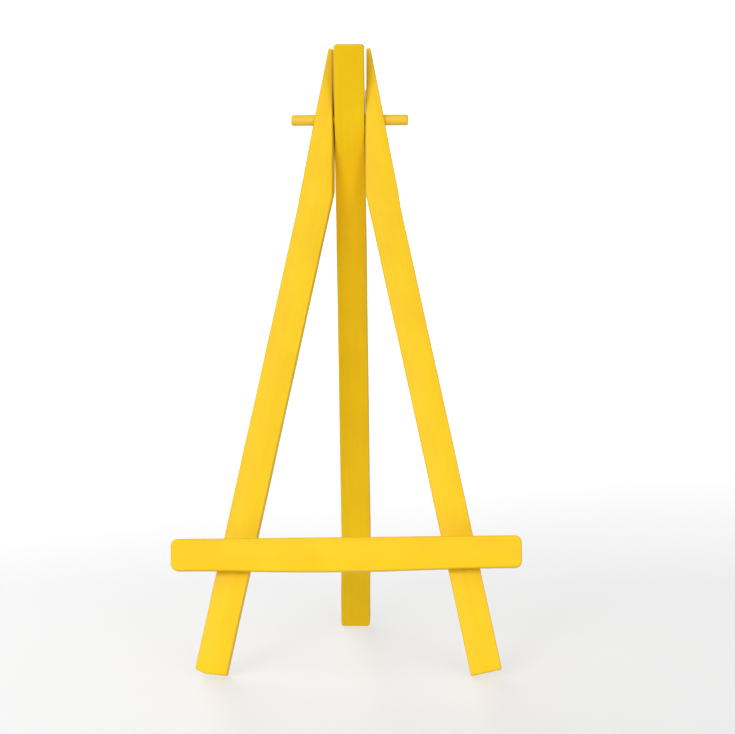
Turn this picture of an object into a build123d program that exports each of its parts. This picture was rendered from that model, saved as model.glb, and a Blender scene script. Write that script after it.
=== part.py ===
from build123d import *
import math
import os

# Miniature tabletop display easel: two splayed front legs and one rear leg on a
# cross dowel, with a ledge that carries a small canvas or card.
# Millimetres. +Z up, the front of the easel faces -Y, +X to the right.
# Every piece is drawn flat in its own stick plane with the pivot at the origin,
# then leaned into the standing pose.

# Standing pose
LEAN = 13.0                 # front frame, back from vertical
REAR_ANGLE = 16.5           # rear leg, out behind vertical

# Front legs, measured in the front frame's own plane from the pivot
STOCK = 6.0                 # thickness of all three sticks
FRONT_WIDTH = 8.2
SPLAY = 12.25               # each leg from the frame's middle line
HEAD_SLOPE = 10.5           # outer edge above the crotch, a little steeper
HALF_GAP = 4.12             # middle line to the flat cut that faces the rear leg
CROTCH_DROP = 19.3          # pivot down to where the flat cuts end
FRONT_RISE = 18.5           # pivot up to the tips
FRONT_REACH = 144.5         # pivot down to the inner corner of each foot

# Rear leg
REAR_WIDTH = 7.8
REAR_RISE = 19.9            # pivot up to its top end

# Cross dowel
DOWEL_DIAMETER = 2.85
DOWEL_LENGTH = 30.4
PIVOT_CLEARANCE = 0.05      # radial, rear leg on the dowel

# Ledge, glued and nailed to the front faces of the front legs
LEDGE_LENGTH = 90.0
LEDGE_DEPTH = 6.0
LEDGE_HEIGHT = 8.3
LEDGE_DROP = 113.5          # pivot down to the ledge's centre line
LEDGE_CORNER = 1.4

# Brads, one through each front leg from behind
BRAD_DIAMETER = 1.2
BRAD_LENGTH = 9.5           # under the head
BRAD_HEAD_DIAMETER = 2.4
BRAD_HEAD_HEIGHT = 0.5

# Sanding
END_CORNER = 0.7            # corners of the stick ends, seen from the front
EASED_EDGE = 0.35           # long edges

OUT_DIR = "parts"


def soften(stick, corner):
    """Round the corners seen from the front, then ease the front and back edges."""
    stick = fillet(stick.edges().filter_by(Axis.Y), corner)
    faces = stick.faces().filter_by(Axis.Y)
    return fillet(faces.edges(), EASED_EDGE)


def cross_hole(radius):
    """Cutter along X through the pivot."""
    return Cylinder(radius, DOWEL_LENGTH * 2, rotation=(0, 90, 0))


def leg_inner_x(drop):
    """Inner edge of the right front leg at a distance below the pivot."""
    return HALF_GAP + (drop - CROTCH_DROP) * math.tan(math.radians(SPLAY))


def right_front_leg():
    splay = math.radians(SPLAY)
    slope = math.radians(HEAD_SLOPE)
    crotch_outer = HALF_GAP + FRONT_WIDTH / math.cos(splay)
    tip_outer = crotch_outer - (FRONT_RISE + CROTCH_DROP) * math.tan(slope)
    heel = (leg_inner_x(FRONT_REACH), -FRONT_REACH)
    toe = (
        heel[0] + FRONT_WIDTH * math.cos(splay),
        heel[1] + FRONT_WIDTH * math.sin(splay),
    )
    outline = Polyline(
        heel,
        toe,
        (crotch_outer, -CROTCH_DROP),
        (tip_outer, FRONT_RISE),
        (HALF_GAP, FRONT_RISE),
        (HALF_GAP, -CROTCH_DROP),
        close=True,
    )
    stick = extrude(Plane.XZ * make_face(outline), STOCK / 2, both=True)
    return soften(stick, EASED_EDGE) - cross_hole(DOWEL_DIAMETER / 2)


def rear_leg_stick(reach):
    stick = Pos(0, 0, (REAR_RISE - reach) / 2) * Box(REAR_WIDTH, STOCK, REAR_RISE + reach)
    return soften(stick, END_CORNER) - cross_hole(DOWEL_DIAMETER / 2 + PIVOT_CLEARANCE)


def dowel():
    rod = Cylinder(DOWEL_DIAMETER / 2, DOWEL_LENGTH, rotation=(0, 90, 0))
    ends = rod.faces().filter_by(Axis.X)
    return fillet(ends.edges(), EASED_EDGE)


def ledge_bar():
    bar = Box(LEDGE_LENGTH, LEDGE_DEPTH, LEDGE_HEIGHT)
    bar = soften(bar, LEDGE_CORNER)
    return Pos(0, -(STOCK + LEDGE_DEPTH) / 2, -LEDGE_DROP) * bar


def right_brad():
    """Flat-headed brad, its head on the back face of the right front leg."""
    leg_middle = leg_inner_x(LEDGE_DROP) + FRONT_WIDTH / 2 / math.cos(math.radians(SPLAY))
    head = Pos(0, 0, BRAD_HEAD_HEIGHT / 2) * Cylinder(BRAD_HEAD_DIAMETER / 2, BRAD_HEAD_HEIGHT)
    shank = Pos(0, 0, -BRAD_LENGTH / 2) * Cylinder(BRAD_DIAMETER / 2, BRAD_LENGTH)
    brad = Rot(X=-90) * (head + shank)
    return Pos(leg_middle, STOCK / 2, -LEDGE_DROP) * brad


def mirrored(shape):
    return mirror(shape, about=Plane.YZ)


# Front frame, drawn upright and then leaned back
brad_right = right_brad()
brad_left = mirrored(brad_right)
leg_right = right_front_leg() - brad_right
leg_left = mirrored(leg_right)

front_frame = {
    "front_leg_left": leg_left,
    "front_leg_right": leg_right,
    "pivot_dowel": dowel(),
    "canvas_ledge": ledge_bar() - brad_right - brad_left,
    "ledge_brad_left": brad_left,
    "ledge_brad_right": brad_right,
}
standing = {name: Rot(X=-LEAN) * piece for name, piece in front_frame.items()}

# Rear leg, cut so that its heel meets the floor the front feet stand on
floor_drop = -standing["front_leg_right"].bounding_box().min.Z
rear_trial = Rot(X=REAR_ANGLE) * rear_leg_stick(floor_drop)
trial_drop = -rear_trial.bounding_box().min.Z
rear_reach = floor_drop - (trial_drop - floor_drop) / math.cos(math.radians(REAR_ANGLE))
standing["rear_leg"] = Rot(X=REAR_ANGLE) * rear_leg_stick(rear_reach)

# Origin: middle of the footprint, on the floor
boxes = [piece.bounding_box() for piece in standing.values()]
front_y = min(box.min.Y for box in boxes)
back_y = max(box.max.Y for box in boxes)
floor_z = min(box.min.Z for box in boxes)
to_floor = Pos(0, -(front_y + back_y) / 2, -floor_z)

os.makedirs(OUT_DIR, exist_ok=True)
for name, piece in standing.items():
    export_step(to_floor * piece, f"{OUT_DIR}/{name}.step")

pivot = to_floor.position
print("pivot at", round(pivot.Y, 4), round(pivot.Z, 4))
print("rear leg reach", round(rear_reach, 3))
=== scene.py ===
import math

import bmesh
import bpy
from mathutils import Matrix, Vector


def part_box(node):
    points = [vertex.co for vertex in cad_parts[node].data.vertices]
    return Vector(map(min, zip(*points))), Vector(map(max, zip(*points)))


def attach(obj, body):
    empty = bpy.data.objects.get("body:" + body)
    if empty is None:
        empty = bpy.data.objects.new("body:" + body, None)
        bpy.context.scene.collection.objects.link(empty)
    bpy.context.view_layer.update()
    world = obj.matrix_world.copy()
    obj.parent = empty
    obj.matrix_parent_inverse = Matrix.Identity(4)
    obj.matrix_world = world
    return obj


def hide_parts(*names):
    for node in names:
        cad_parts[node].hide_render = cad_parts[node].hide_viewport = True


# A miniature tabletop easel: two splayed front legs and a rear leg on a cross dowel,
# with a ledge across the front, all sprayed yellow.
# Each stick is made flat, with the dowel's centre at the origin, then leaned into place.
# Sizes are in millimetres, and MM turns them to metres where they are used. Parts of the
# studio, which lie far off, are in metres.

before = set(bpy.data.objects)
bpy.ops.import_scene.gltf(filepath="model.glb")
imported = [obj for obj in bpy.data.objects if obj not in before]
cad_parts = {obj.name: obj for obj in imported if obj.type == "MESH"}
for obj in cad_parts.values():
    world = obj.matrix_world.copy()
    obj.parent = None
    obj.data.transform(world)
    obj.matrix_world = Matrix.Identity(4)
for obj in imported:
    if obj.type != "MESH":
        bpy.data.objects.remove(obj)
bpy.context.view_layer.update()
MM = 0.001


def measured(node):
    """A CAD node's middle in metres and its size in mm."""
    low, high = (Vector(corner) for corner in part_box(node))
    return (low + high) / 2, (high - low) / MM


PIVOT, DOWEL_SIZE = measured("pivot_dowel")
DOWEL_LENGTH = DOWEL_SIZE.x
DOWEL_RADIUS = DOWEL_SIZE.z / 2
LEDGE_LENGTH = measured("canvas_ledge")[1].x
REAR_WIDTH = measured("rear_leg")[1].x

# Standing angles
LEAN = math.radians(13.0)           # front frame, backwards
REAR_ANGLE = math.radians(16.5)     # rear leg, out behind
SPLAY = math.radians(12.25)         # each front leg, outwards

# Sticks
STOCK = 6.0                         # thickness of every stick
EASED = 0.4                         # sanded roundness of the long edges
PITCH = 2.4                         # spacing of the cross loops that carry the sanding waves
CROTCH = 19.3                       # dowel down to where the front legs part
TIP = 18.5                          # dowel up to the front legs' tips
FOOT = (PIVOT.z / MM - STOCK / 2 * math.sin(LEAN)) / math.cos(LEAN)
HALF_GAP = 4.12                     # middle line to each front leg at the crotch
HEAD_WIDTH = 8.4                    # front leg beside the dowel
HEAD_SLOPE = math.radians(10.8)
REAR_TOP = 19.9
REAR_FOOT = (PIVOT.z / MM - STOCK / 2 * math.sin(REAR_ANGLE)) / math.cos(REAR_ANGLE)

# Ledge
LEDGE_DEPTH = 6.0
LEDGE_HEIGHT = 8.1
LEDGE_DROP = 113.3                  # dowel down to the ledge's centre line


# ---------------------------------------------------------------- workshop

def pick(piece, mode="OBJECT"):
    """Makes the piece the only one selected, in the given mode."""
    if bpy.context.mode != "OBJECT":
        bpy.ops.object.mode_set(mode="OBJECT")
    bpy.ops.object.select_all(action="DESELECT")
    piece.select_set(True)
    bpy.context.view_layer.objects.active = piece
    if mode != "OBJECT":
        bpy.ops.object.mode_set(mode=mode)


def fresh():
    """Deselects everything, so that a new primitive comes in alone."""
    if bpy.context.mode != "OBJECT":
        bpy.ops.object.mode_set(mode="OBJECT")
    bpy.ops.object.select_all(action="DESELECT")


def settle(piece):
    """Writes the object's place, turn and scale into its mesh."""
    pick(piece)
    bpy.ops.object.transform_apply(location=True, rotation=True, scale=True)


def place(piece, spot=(0.0, 0.0, 0.0), turn=(0.0, 0.0, 0.0)):
    piece.rotation_euler = turn
    piece.location = Vector(spot) * MM
    settle(piece)


def stand(piece, angle, sideways=0.0, shift=0.0):
    """Leans a finished piece about the dowel into the standing pose."""
    place(piece, PIVOT / MM + Vector((shift, 0.0, 0.0)), (angle, sideways, 0.0))


def sawn_block(name, size, centre=(0.0, 0.0, 0.0), turn=0.0):
    """A squared stick: width, thickness and length, turned in the stick plane."""
    fresh()
    bpy.ops.mesh.primitive_cube_add(size=MM)
    piece = bpy.context.active_object
    piece.name = name
    piece.data.name = name
    piece.scale = size
    place(piece, centre, (0.0, turn, 0.0))
    return piece


def saw(piece, point, normal, drop="none", steps=1, pitch=0.0):
    """Cuts on a plane; drop says which side falls off. With steps, repeats up the normal."""
    pick(piece, "EDIT")
    for i in range(steps):
        bpy.ops.mesh.select_all(action="SELECT")
        bpy.ops.mesh.bisect(
            plane_co=(Vector(point) + Vector(normal) * (i * pitch)) * MM,
            plane_no=normal,
            use_fill=drop != "none",
            clear_inner=drop == "behind",
            clear_outer=drop == "ahead",
            threshold=1e-6,
        )
    bpy.ops.object.mode_set(mode="OBJECT")


def select_where(piece, kind, test):
    """Goes into edit mode with only the vertices or edges that pass the test selected."""
    pick(piece, "EDIT")
    bpy.ops.mesh.select_mode(type="VERT" if kind == "verts" else "EDGE")
    bpy.ops.mesh.select_all(action="DESELECT")
    mesh = bmesh.from_edit_mesh(piece.data)
    for item in getattr(mesh, kind):
        if test(item):
            item.select_set(True)
    mesh.select_flush_mode()
    bmesh.update_edit_mesh(piece.data)


def shift_where(piece, test, move, reach=0.0):
    """Moves the chosen vertices; with a reach, their neighbours follow softly."""
    select_where(piece, "verts", test)
    bpy.ops.transform.translate(
        value=Vector(move) * MM,
        use_proportional_edit=reach > 0.0,
        proportional_edit_falloff="SMOOTH",
        proportional_size=max(reach, 1.0) * MM,
    )
    bpy.ops.object.mode_set(mode="OBJECT")


def is_corner(edge):
    return edge.is_manifold and edge.calc_face_angle() > math.radians(25)


def round_edges(piece, width, segments, test=is_corner):
    select_where(piece, "edges", test)
    bpy.ops.mesh.bevel(offset=width * MM, segments=segments, profile=0.5, clamp_overlap=True)
    bpy.ops.object.mode_set(mode="OBJECT")


def runs_through(edge):
    """True for an edge that goes from a stick's front face to its back face."""
    return abs(edge.verts[0].co.y - edge.verts[1].co.y) > STOCK * MM / 2


def hand_sanded(piece, patch):
    """Slow waves a few hundredths of a mm deep, as sandpaper leaves on soft wood."""
    fresh()
    bpy.ops.object.empty_add(location=patch)
    guide = bpy.context.active_object
    bpy.context.view_layer.update()
    pick(piece)
    waves = bpy.data.textures.new(piece.name + "_sanding", "CLOUDS")
    waves.noise_scale = 14.0 * MM
    waves.noise_depth = 1
    sanding = piece.modifiers.new("sanding", "DISPLACE")
    sanding.texture = waves
    sanding.texture_coords = "OBJECT"
    sanding.texture_coords_object = guide
    sanding.strength = 0.1 * MM
    sanding.mid_level = 0.5
    bpy.ops.object.modifier_apply(modifier=sanding.name)
    bpy.data.objects.remove(guide)


ALONG_X = (0.0, math.pi / 2, 0.0)


def rod(name, radius, length):
    """A round rod along X through the dowel's centre."""
    fresh()
    bpy.ops.mesh.primitive_cylinder_add(
        vertices=48, radius=radius * MM, depth=length * MM, rotation=ALONG_X,
    )
    piece = bpy.context.active_object
    piece.name = name
    piece.data.name = name
    settle(piece)
    return piece


def drill(piece, radius):
    """Bores the dowel's hole right through the stick."""
    bit = rod("drill_bit", radius, 60.0)
    pick(piece)
    bore = piece.modifiers.new("bore", "BOOLEAN")
    bore.operation = "DIFFERENCE"
    bore.solver = "EXACT"
    bore.object = bit
    bpy.ops.object.modifier_apply(modifier=bore.name)
    bpy.data.objects.remove(bit)


def finish_mesh(piece):
    """Cleans the mesh, marks its rounded edges for the paint and smooths their shading."""
    pick(piece, "EDIT")
    bpy.ops.mesh.select_all(action="SELECT")
    bpy.ops.mesh.remove_doubles(threshold=2e-6)
    bpy.ops.mesh.normals_make_consistent(inside=False)
    mesh = bmesh.from_edit_mesh(piece.data)
    rubbed = mesh.verts.layers.float.new("rubbed_edge")
    widest_facet = 2.0 * MM * MM
    for vertex in mesh.verts:
        on_edge = all(face.calc_area() < widest_facet for face in vertex.link_faces)
        vertex[rubbed] = 1.0 if on_edge else 0.0
    bmesh.update_edit_mesh(piece.data)
    bpy.ops.object.mode_set(mode="OBJECT")
    bpy.ops.object.shade_smooth_by_angle(angle=math.radians(40))


# ---------------------------------------------------------------- sticks

def front_leg(name, width, gap, slant):
    """Right front leg, upright. The saw leaned by slant as it cut the flat by the dowel."""
    heel = Vector((HALF_GAP + (FOOT - CROTCH) * math.tan(SPLAY), 0.0, -FOOT))
    along = Vector((-math.sin(SPLAY), 0.0, math.cos(SPLAY)))
    across = Vector((math.cos(SPLAY), 0.0, math.sin(SPLAY)))
    overlong, spare = 190.0, 4.0
    centre = heel + across * (width / 2) + along * (overlong / 2 - spare)
    leg = sawn_block(name, (width, STOCK, overlong), centre, turn=-SPLAY)
    saw(leg, (0.0, 0.0, TIP), (0.0, 0.0, 1.0), drop="ahead")

    # the head is fuller than the shank, and its outer side stands a little steeper
    shoulder = 4.0
    saw(leg, (0.0, 0.0, -CROTCH - shoulder), (0.0, 0.0, 1.0), steps=2, pitch=shoulder)
    fuller = (HEAD_WIDTH - width) / math.cos(SPLAY)
    steeper = (TIP + CROTCH) * (math.tan(SPLAY) - math.tan(HEAD_SLOPE))
    for above, move in ((-CROTCH, fuller), (TIP, steeper)):
        shift_where(
            leg,
            lambda v: v.co.z > (above - 0.1) * MM and (v.co / MM - heel).dot(across) > width / 2,
            (move, 0.0, 0.0),
        )
    saw(leg, (gap, 0.0, 0.0), (math.cos(slant), math.sin(slant), 0.0), drop="behind")
    return leg, heel, along


def trim_foot(leg, heel, slope):
    """Saws the foot off at the heel, rising outwards at the given slope."""
    saw(leg, heel, (-math.sin(slope), 0.0, math.cos(slope)), drop="behind")


def sand_front_leg(leg, heel, along, patch, bow=0.0):
    """Loops, the shank's slight bow outwards, eased edges, the dowel's hole; then stood up."""
    head_loops = int((CROTCH + TIP) / PITCH)
    shank_loops = int((FOOT - CROTCH) / PITCH)
    saw(leg, (0.0, 0.0, PITCH - CROTCH), (0.0, 0.0, 1.0), steps=head_loops, pitch=PITCH)
    saw(leg, heel + along * (2 * PITCH), along, steps=shank_loops, pitch=PITCH)
    middle = (FOOT + CROTCH) / 2
    shift_where(
        leg, lambda v: abs(v.co.z / MM + middle) < PITCH, (bow, 0.0, 0.0), reach=middle,
    )
    round_edges(leg, EASED, 3)
    hand_sanded(leg, patch)
    drill(leg, DOWEL_RADIUS + 0.02)
    finish_mesh(leg)
    stand(leg, -LEAN)


def right_leg():
    leg, heel, along = front_leg("right_leg_stick", 8.1, gap=4.06, slant=math.radians(2.1))

    # pared back above the dowel, so that light shows beside the rear leg
    pared_from, step, pared_by = 7.2, 0.8, 0.25
    saw(leg, (0.0, 0.0, pared_from), (0.0, 0.0, 1.0), steps=2, pitch=step)
    shift_where(
        leg,
        lambda v: v.co.x < (HALF_GAP + 1.0) * MM and v.co.z > (pared_from + step / 2) * MM,
        (pared_by, 0.0, 0.0),
    )
    trim_foot(leg, heel, SPLAY)
    sand_front_leg(leg, heel, along, (0.3, 0.1, 0.7), bow=0.18)
    return leg


def left_leg():
    leg, heel, along = front_leg("left_leg_stick", 8.25, gap=4.17, slant=math.radians(4.5))

    # the sole is sanded to a blunt curve: flatter at the heel, steeper at the outer corner
    flat, steep, flat_length = math.radians(6), math.radians(25), 5.8
    turn_at = heel + Vector((math.cos(flat), 0.0, math.sin(flat))) * flat_length
    trim_foot(leg, heel, flat)
    trim_foot(leg, turn_at, steep)
    leg.scale = (-1.0, 1.0, 1.0)
    settle(leg)
    mirrored = Vector((-1.0, 1.0, 1.0))
    sand_front_leg(leg, heel * mirrored, along * mirrored, (0.9, 0.4, 0.2))
    return leg


def rear_leg():
    spare = 4.0
    length = REAR_TOP + REAR_FOOT + spare
    leg = sawn_block("rear_leg_stick", (REAR_WIDTH, STOCK, length),
                     (0.0, 0.0, length / 2 - REAR_FOOT))

    # the top is sawn level with the floor, through the stick's back upper edge
    level = (0.0, math.sin(REAR_ANGLE), math.cos(REAR_ANGLE))
    saw(leg, (0.0, STOCK / 2, REAR_TOP), level, drop="ahead")
    round_edges(leg, 0.7, 4, runs_through)
    saw(leg, (0.0, 0.0, 1.0 - REAR_FOOT), (0.0, 0.0, 1.0), steps=int(length / PITCH), pitch=PITCH)
    round_edges(leg, 0.3, 3)

    # the stick bows a little to the left at its foot
    bow = -0.4
    shift_where(leg, lambda v: v.co.z < (1.0 - REAR_FOOT) * MM, (bow, 0.0, 0.0), reach=30.0)
    hand_sanded(leg, (0.5, 0.8, 0.1))
    drill(leg, DOWEL_RADIUS + 0.05)
    finish_mesh(leg)
    stand(leg, REAR_ANGLE, sideways=math.radians(0.15), shift=0.02)
    return leg


def ledge():
    """The ledge is nailed on slightly out of level, and its lower edge is bellied."""
    length = LEDGE_LENGTH - 0.3
    bar = sawn_block("ledge_bar", (length, LEDGE_DEPTH, LEDGE_HEIGHT))
    round_edges(bar, 1.7, 5, runs_through)
    saw(bar, (2.0 - length / 2, 0.0, 0.0), (1.0, 0.0, 0.0),
        steps=int((length - 2.0) / PITCH), pitch=PITCH)
    round_edges(bar, EASED, 3)

    belly, middle = 0.6, 2 * PITCH
    select_where(bar, "verts", lambda v: abs(v.co.x) < middle * MM)
    bpy.ops.transform.resize(
        value=(1.0, 1.0, 1.0 + belly / LEDGE_HEIGHT),
        center_override=(0.0, 0.0, LEDGE_HEIGHT / 2 * MM),
        use_proportional_edit=True,
        proportional_edit_falloff="SMOOTH",
        proportional_size=0.4 * length * MM,
    )
    bpy.ops.object.mode_set(mode="OBJECT")
    hand_sanded(bar, (0.2, 0.6, 0.5))
    finish_mesh(bar)
    front = -(STOCK + LEDGE_DEPTH) / 2
    place(bar, (-0.45, front, -LEDGE_DROP), (0.0, math.radians(-0.57), 0.0))
    stand(bar, -LEAN)
    return bar


def cross_dowel():
    dowel = rod("cross_dowel", DOWEL_RADIUS, DOWEL_LENGTH)
    round_edges(dowel, 0.45, 4)
    finish_mesh(dowel)
    stand(dowel, 0.0)
    return dowel


# ---------------------------------------------------------------- finishes

def hex_colour(code):
    """sRGB hex to the linear values that shaders take."""
    parts = [int(code[i:i + 2], 16) / 255 for i in (1, 3, 5)]
    linear = [p / 12.92 if p <= 0.04045 else ((p + 0.055) / 1.055) ** 2.4 for p in parts]
    return (*linear, 1.0)


def add_node(tree, kind, inputs=None, **settings):
    """Adds a node. inputs maps a socket to a constant, an output, or a node (its first output)."""
    node = tree.nodes.new(kind)
    for key, value in settings.items():
        setattr(node, key, value)
    for key, value in (inputs or {}).items():
        if isinstance(value, bpy.types.Node):
            value = value.outputs[0]
        if isinstance(value, bpy.types.NodeSocket):
            tree.links.new(value, node.inputs[key])
        else:
            node.inputs[key].default_value = value
    return node


def new_material(name):
    material = bpy.data.materials.new(name)
    material.use_nodes = True
    material.node_tree.nodes.clear()
    return material, material.node_tree


def surface(tree, inputs):
    shader = add_node(tree, "ShaderNodeBsdfPrincipled", inputs)
    add_node(tree, "ShaderNodeOutputMaterial", {"Surface": shader})


def fine_noise(tree, space, grain_mm, detail=2.0, roughness=0.5):
    """Noise whose blotches measure grain_mm along the three axes of the stick."""
    scaled = add_node(
        tree, "ShaderNodeMapping", {"Vector": space, "Scale": [1 / (g * MM) for g in grain_mm]},
    )
    return add_node(
        tree, "ShaderNodeTexNoise",
        {"Vector": scaled, "Scale": 1.0, "Detail": detail, "Roughness": roughness},
    )


def spread(tree, value, low, high, to_low, to_high):
    """Stretches a narrow range of a value to another one, held at its ends."""
    return add_node(
        tree, "ShaderNodeMapRange",
        {"Value": value, "From Min": low, "From Max": high, "To Min": to_low, "To Max": to_high},
    )


def mix_colours(tree, factor, below, above):
    """Lays the second colour over the first by the factor."""
    mix = add_node(tree, "ShaderNodeMix", {0: factor, 6: below, 7: above}, data_type="RGBA")
    return mix.outputs[2]


# Satin spray enamel on sanded basswood. The coat is thin: it gives the eye one strong
# warm yellow with a soft sheen, under which the wood's fibres still show as faint lines.
def sprayed_enamel(name, lie, bare):
    """lie is the turn that lays the stick's length along Z; bare, how much wood shows through."""
    material, tree = new_material(name)
    coordinates = tree.nodes.new("ShaderNodeTexCoord")
    stick = add_node(
        tree, "ShaderNodeMapping",
        {"Vector": coordinates.outputs["Object"], "Location": PIVOT, "Rotation": lie.to_euler()},
        vector_type="TEXTURE",
    )

    # clouds about 9 mm across from the spray gun's passes, a shade deeper or paler
    cloud = fine_noise(tree, stick, (9.0, 9.0, 14.0))
    colour = mix_colours(tree, spread(tree, cloud, 0.35, 0.65, 0.0, 1.0),
                         hex_colour("#E2B707"), hex_colour("#E6BE0A"))
    # growth rings cut lengthwise, about 3 mm apart: long faint bands
    ring = fine_noise(tree, stick, (3.0, 3.0, 60.0), detail=1.0)
    colour = mix_colours(tree, spread(tree, ring, 0.50, 0.62, 0.0, 0.22),
                         colour, hex_colour("#DEB208"))
    # wood fibres, 0.1 mm in basswood and drawn at 0.45 mm: fine lines along the stick
    fibre = fine_noise(tree, stick, (0.45, 0.45, 16.0), detail=3.0, roughness=0.6)
    colour = mix_colours(tree, spread(tree, fibre, 0.35, 0.70, 0.0, 0.25),
                         colour, hex_colour("#D8AB06"))
    # orange peel, 0.8 mm cells where the spray dried before it flowed out
    peel = fine_noise(tree, stick, (0.8, 0.8, 0.8))
    # pale wood under the paint: the hard, smooth dowel took a thinner coat
    colour = mix_colours(tree, bare, colour, hex_colour("#E3C489"))
    # paint rubbed thin on the rounded edges: a paler, broken line
    rubbed = add_node(tree, "ShaderNodeAttribute", attribute_name="rubbed_edge")
    thin = add_node(
        tree, "ShaderNodeMath",
        {0: rubbed.outputs["Fac"], 1: spread(tree, peel, 0.40, 0.60, 0.05, 0.35)},
        operation="MULTIPLY",
    )
    colour = mix_colours(tree, thin, colour, hex_colour("#E2BC3C"))

    # end grain: 0.3 mm pores that drank the paint, so sawn ends are darker, rough and pitted
    facing = add_node(
        tree, "ShaderNodeVectorMath",
        {0: coordinates.outputs["Normal"], 1: lie @ Vector((0.0, 0.0, 1.0))},
        operation="DOT_PRODUCT",
    )
    squareness = add_node(
        tree, "ShaderNodeMath", {0: facing.outputs["Value"]}, operation="ABSOLUTE",
    )
    end = spread(tree, squareness, 0.80, 0.95, 0.0, 1.0)
    pore = fine_noise(tree, stick, (0.3, 0.3, 0.3), detail=3.0, roughness=0.7)
    soaked = mix_colours(tree, spread(tree, pore, 0.35, 0.65, 0.0, 1.0),
                         hex_colour("#DCB00A"), hex_colour("#ECC410"))
    colour = mix_colours(tree, end, colour, soaked)

    roughness = add_node(
        tree, "ShaderNodeMath",
        {0: spread(tree, peel, 0.3, 0.7, 0.40, 0.50), 1: spread(tree, end, 0.0, 1.0, 0.0, 0.25)},
        operation="ADD",
    )
    ridges = add_node(
        tree, "ShaderNodeBump", {"Height": fibre, "Strength": 0.5, "Distance": 0.03 * MM},
    )
    dimples = add_node(
        tree, "ShaderNodeBump",
        {"Height": peel, "Normal": ridges, "Strength": 0.5, "Distance": 0.02 * MM},
    )
    pits = add_node(
        tree, "ShaderNodeBump",
        {"Height": pore, "Normal": dimples, "Strength": end, "Distance": 0.06 * MM},
    )
    surface(tree, {
        "Base Color": colour, "Roughness": roughness, "Normal": pits,
        "IOR": 1.45, "Specular IOR Level": 0.18,
    })
    return material


# Bright drawn steel wire with yellow overspray: the heads glint, dulled by a speckled
# film of the same enamel that was sprayed over the finished easel.
def oversprayed_wire():
    material, tree = new_material("bright_drawn_steel_wire")
    at = tree.nodes.new("ShaderNodeTexCoord").outputs["Object"]
    # spray droplets, 0.2 mm
    droplets = spread(tree, fine_noise(tree, at, (0.2, 0.2, 0.2)), 0.45, 0.60, 0.0, 1.0)
    # die marks and hammer scuffs, finer than 0.1 mm and drawn at 0.15 mm
    scuffs = fine_noise(tree, at, (0.15, 0.15, 0.15), detail=3.0)
    bumps = add_node(
        tree, "ShaderNodeBump", {"Height": scuffs, "Strength": 0.4, "Distance": 0.01 * MM},
    )
    surface(tree, {
        "Base Color": mix_colours(tree, droplets, hex_colour("#B9B8B4"), hex_colour("#F4C213")),
        "Metallic": spread(tree, droplets, 0.0, 1.0, 1.0, 0.0),
        "Roughness": spread(tree, scuffs, 0.3, 0.7, 0.25, 0.45),
        "Normal": bumps,
    })
    return material


def dress(piece, material):
    piece.data.materials.clear()
    piece.data.materials.append(material)


# ---------------------------------------------------------------- assembly

FRONT = Matrix.Rotation(-LEAN, 3, "X")
REAR = Matrix.Rotation(REAR_ANGLE, 3, "X")
SIDEWAYS = Matrix.Rotation(math.pi / 2, 3, "Y")

# piece, the CAD node it stands for, its body, its slot, how its length lies, bare wood
assembly = (
    (right_leg(), "front_leg_right", "front_frame", "painted_wood",
     FRONT @ Matrix.Rotation(-SPLAY, 3, "Y"), 0.0),
    (left_leg(), "front_leg_left", "front_frame", "painted_wood",
     FRONT @ Matrix.Rotation(SPLAY, 3, "Y"), 0.0),
    (rear_leg(), "rear_leg", "rear_leg", "painted_wood", REAR, 0.0),
    (ledge(), "canvas_ledge", "front_frame", "painted_wood", FRONT @ SIDEWAYS, 0.0),
    (cross_dowel(), "pivot_dowel", "front_frame", "painted_dowel", SIDEWAYS, 0.15),
)
for piece, node, body, slot, lie, bare in assembly:
    dress(piece, sprayed_enamel("sprayed_enamel_" + piece.name, lie, bare))
    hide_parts(node)
    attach(piece, body)

steel = oversprayed_wire()
for node in ("ledge_brad_left", "ledge_brad_right"):
    dress(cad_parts[node], steel)


# ---------------------------------------------------------------- studio

# Opal acrylic table, lit from below: a soft, near-white floor without hard shadows. It fades
# in front, out of the camera's view, which keeps the rear leg in gentle shade.
def light_table():
    fresh()
    bpy.ops.mesh.primitive_plane_add(size=40.0)
    table = bpy.context.active_object
    table.name = "light_table"
    material, tree = new_material("opal_acrylic")
    at = tree.nodes.new("ShaderNodeTexCoord").outputs["Object"]
    depth = add_node(tree, "ShaderNodeSeparateXYZ", {"Vector": at}).outputs["Y"]
    near = spread(tree, depth, -0.30, -0.12, 0.15, 0.56)
    far = spread(tree, depth, 0.1, 0.5, 0.0, 0.3)
    glow = add_node(tree, "ShaderNodeMath", {0: near, 1: far}, operation="ADD")
    surface(tree, {
        "Base Color": hex_colour("#959595"), "Roughness": 0.6,
        "Emission Color": hex_colour("#FFFFFF"), "Emission Strength": glow,
    })
    dress(table, material)


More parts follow.
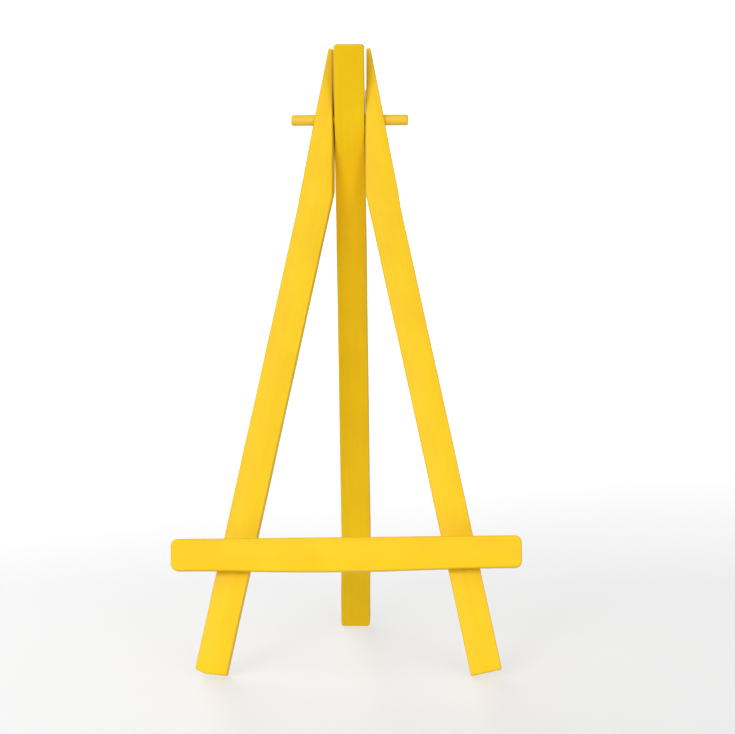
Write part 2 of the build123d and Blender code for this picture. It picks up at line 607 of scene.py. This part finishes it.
def softbox(name, azimuth, height, spread_angle, strength):
    """A broad lamp far off; azimuth 0 is straight in front, positive to the right."""
    lamp = bpy.data.lights.new(name, "SUN")
    lamp.energy = strength
    lamp.angle = math.radians(spread_angle)
    holder = bpy.data.objects.new(name, lamp)
    azimuth, height = math.radians(azimuth), math.radians(height)
    towards = Vector((
        math.sin(azimuth) * math.cos(height),
        -math.cos(azimuth) * math.cos(height),
        math.sin(height),
    ))
    holder.rotation_euler = towards.to_track_quat("Z", "Y").to_euler()
    holder.location = towards
    bpy.context.collection.objects.link(holder)


def white_room(strength):
    world = bpy.data.worlds.new("white_room")
    bpy.context.scene.world = world
    world.use_nodes = True
    background = world.node_tree.nodes["Background"]
    background.inputs["Color"].default_value = hex_colour("#FFFFFF")
    background.inputs["Strength"].default_value = strength


def camera():
    """A long lens one metre from the dowel, a little above it and to its right."""
    azimuth, height, roll = math.radians(1.859), math.radians(6.94), math.radians(0.369)
    distance = 1000.0
    aside, below = 4.634, -64.296       # aim, from the dowel, in the camera's own frame
    turn = (
        Matrix.Rotation(azimuth, 3, "Z")
        @ Matrix.Rotation(math.pi / 2 - height, 3, "X")
        @ Matrix.Rotation(-roll, 3, "Z")
    )
    lens = bpy.data.cameras.new("camera")
    lens.lens = 188.0
    lens.sensor_width = 36.0
    lens.clip_start = 0.01
    lens.clip_end = 100.0
    eye = bpy.data.objects.new("camera", lens)
    offset = turn @ Vector((aside, below, distance)) * MM
    eye.matrix_world = Matrix.Translation(PIVOT + offset) @ turn.to_4x4()
    bpy.context.collection.objects.link(eye)
    bpy.context.scene.camera = eye


light_table()
white_room(0.29)
softbox("left_softbox", azimuth=-18, height=19, spread_angle=17, strength=1.25)
softbox("right_softbox", azimuth=22, height=17, spread_angle=18, strength=0.76)
softbox("overhead_softbox", azimuth=-8, height=50, spread_angle=60, strength=0.9)
softbox("back_softbox", azimuth=-150, height=14, spread_angle=50, strength=1.6)
camera()
bpy.context.scene.view_settings.view_transform = "Standard"
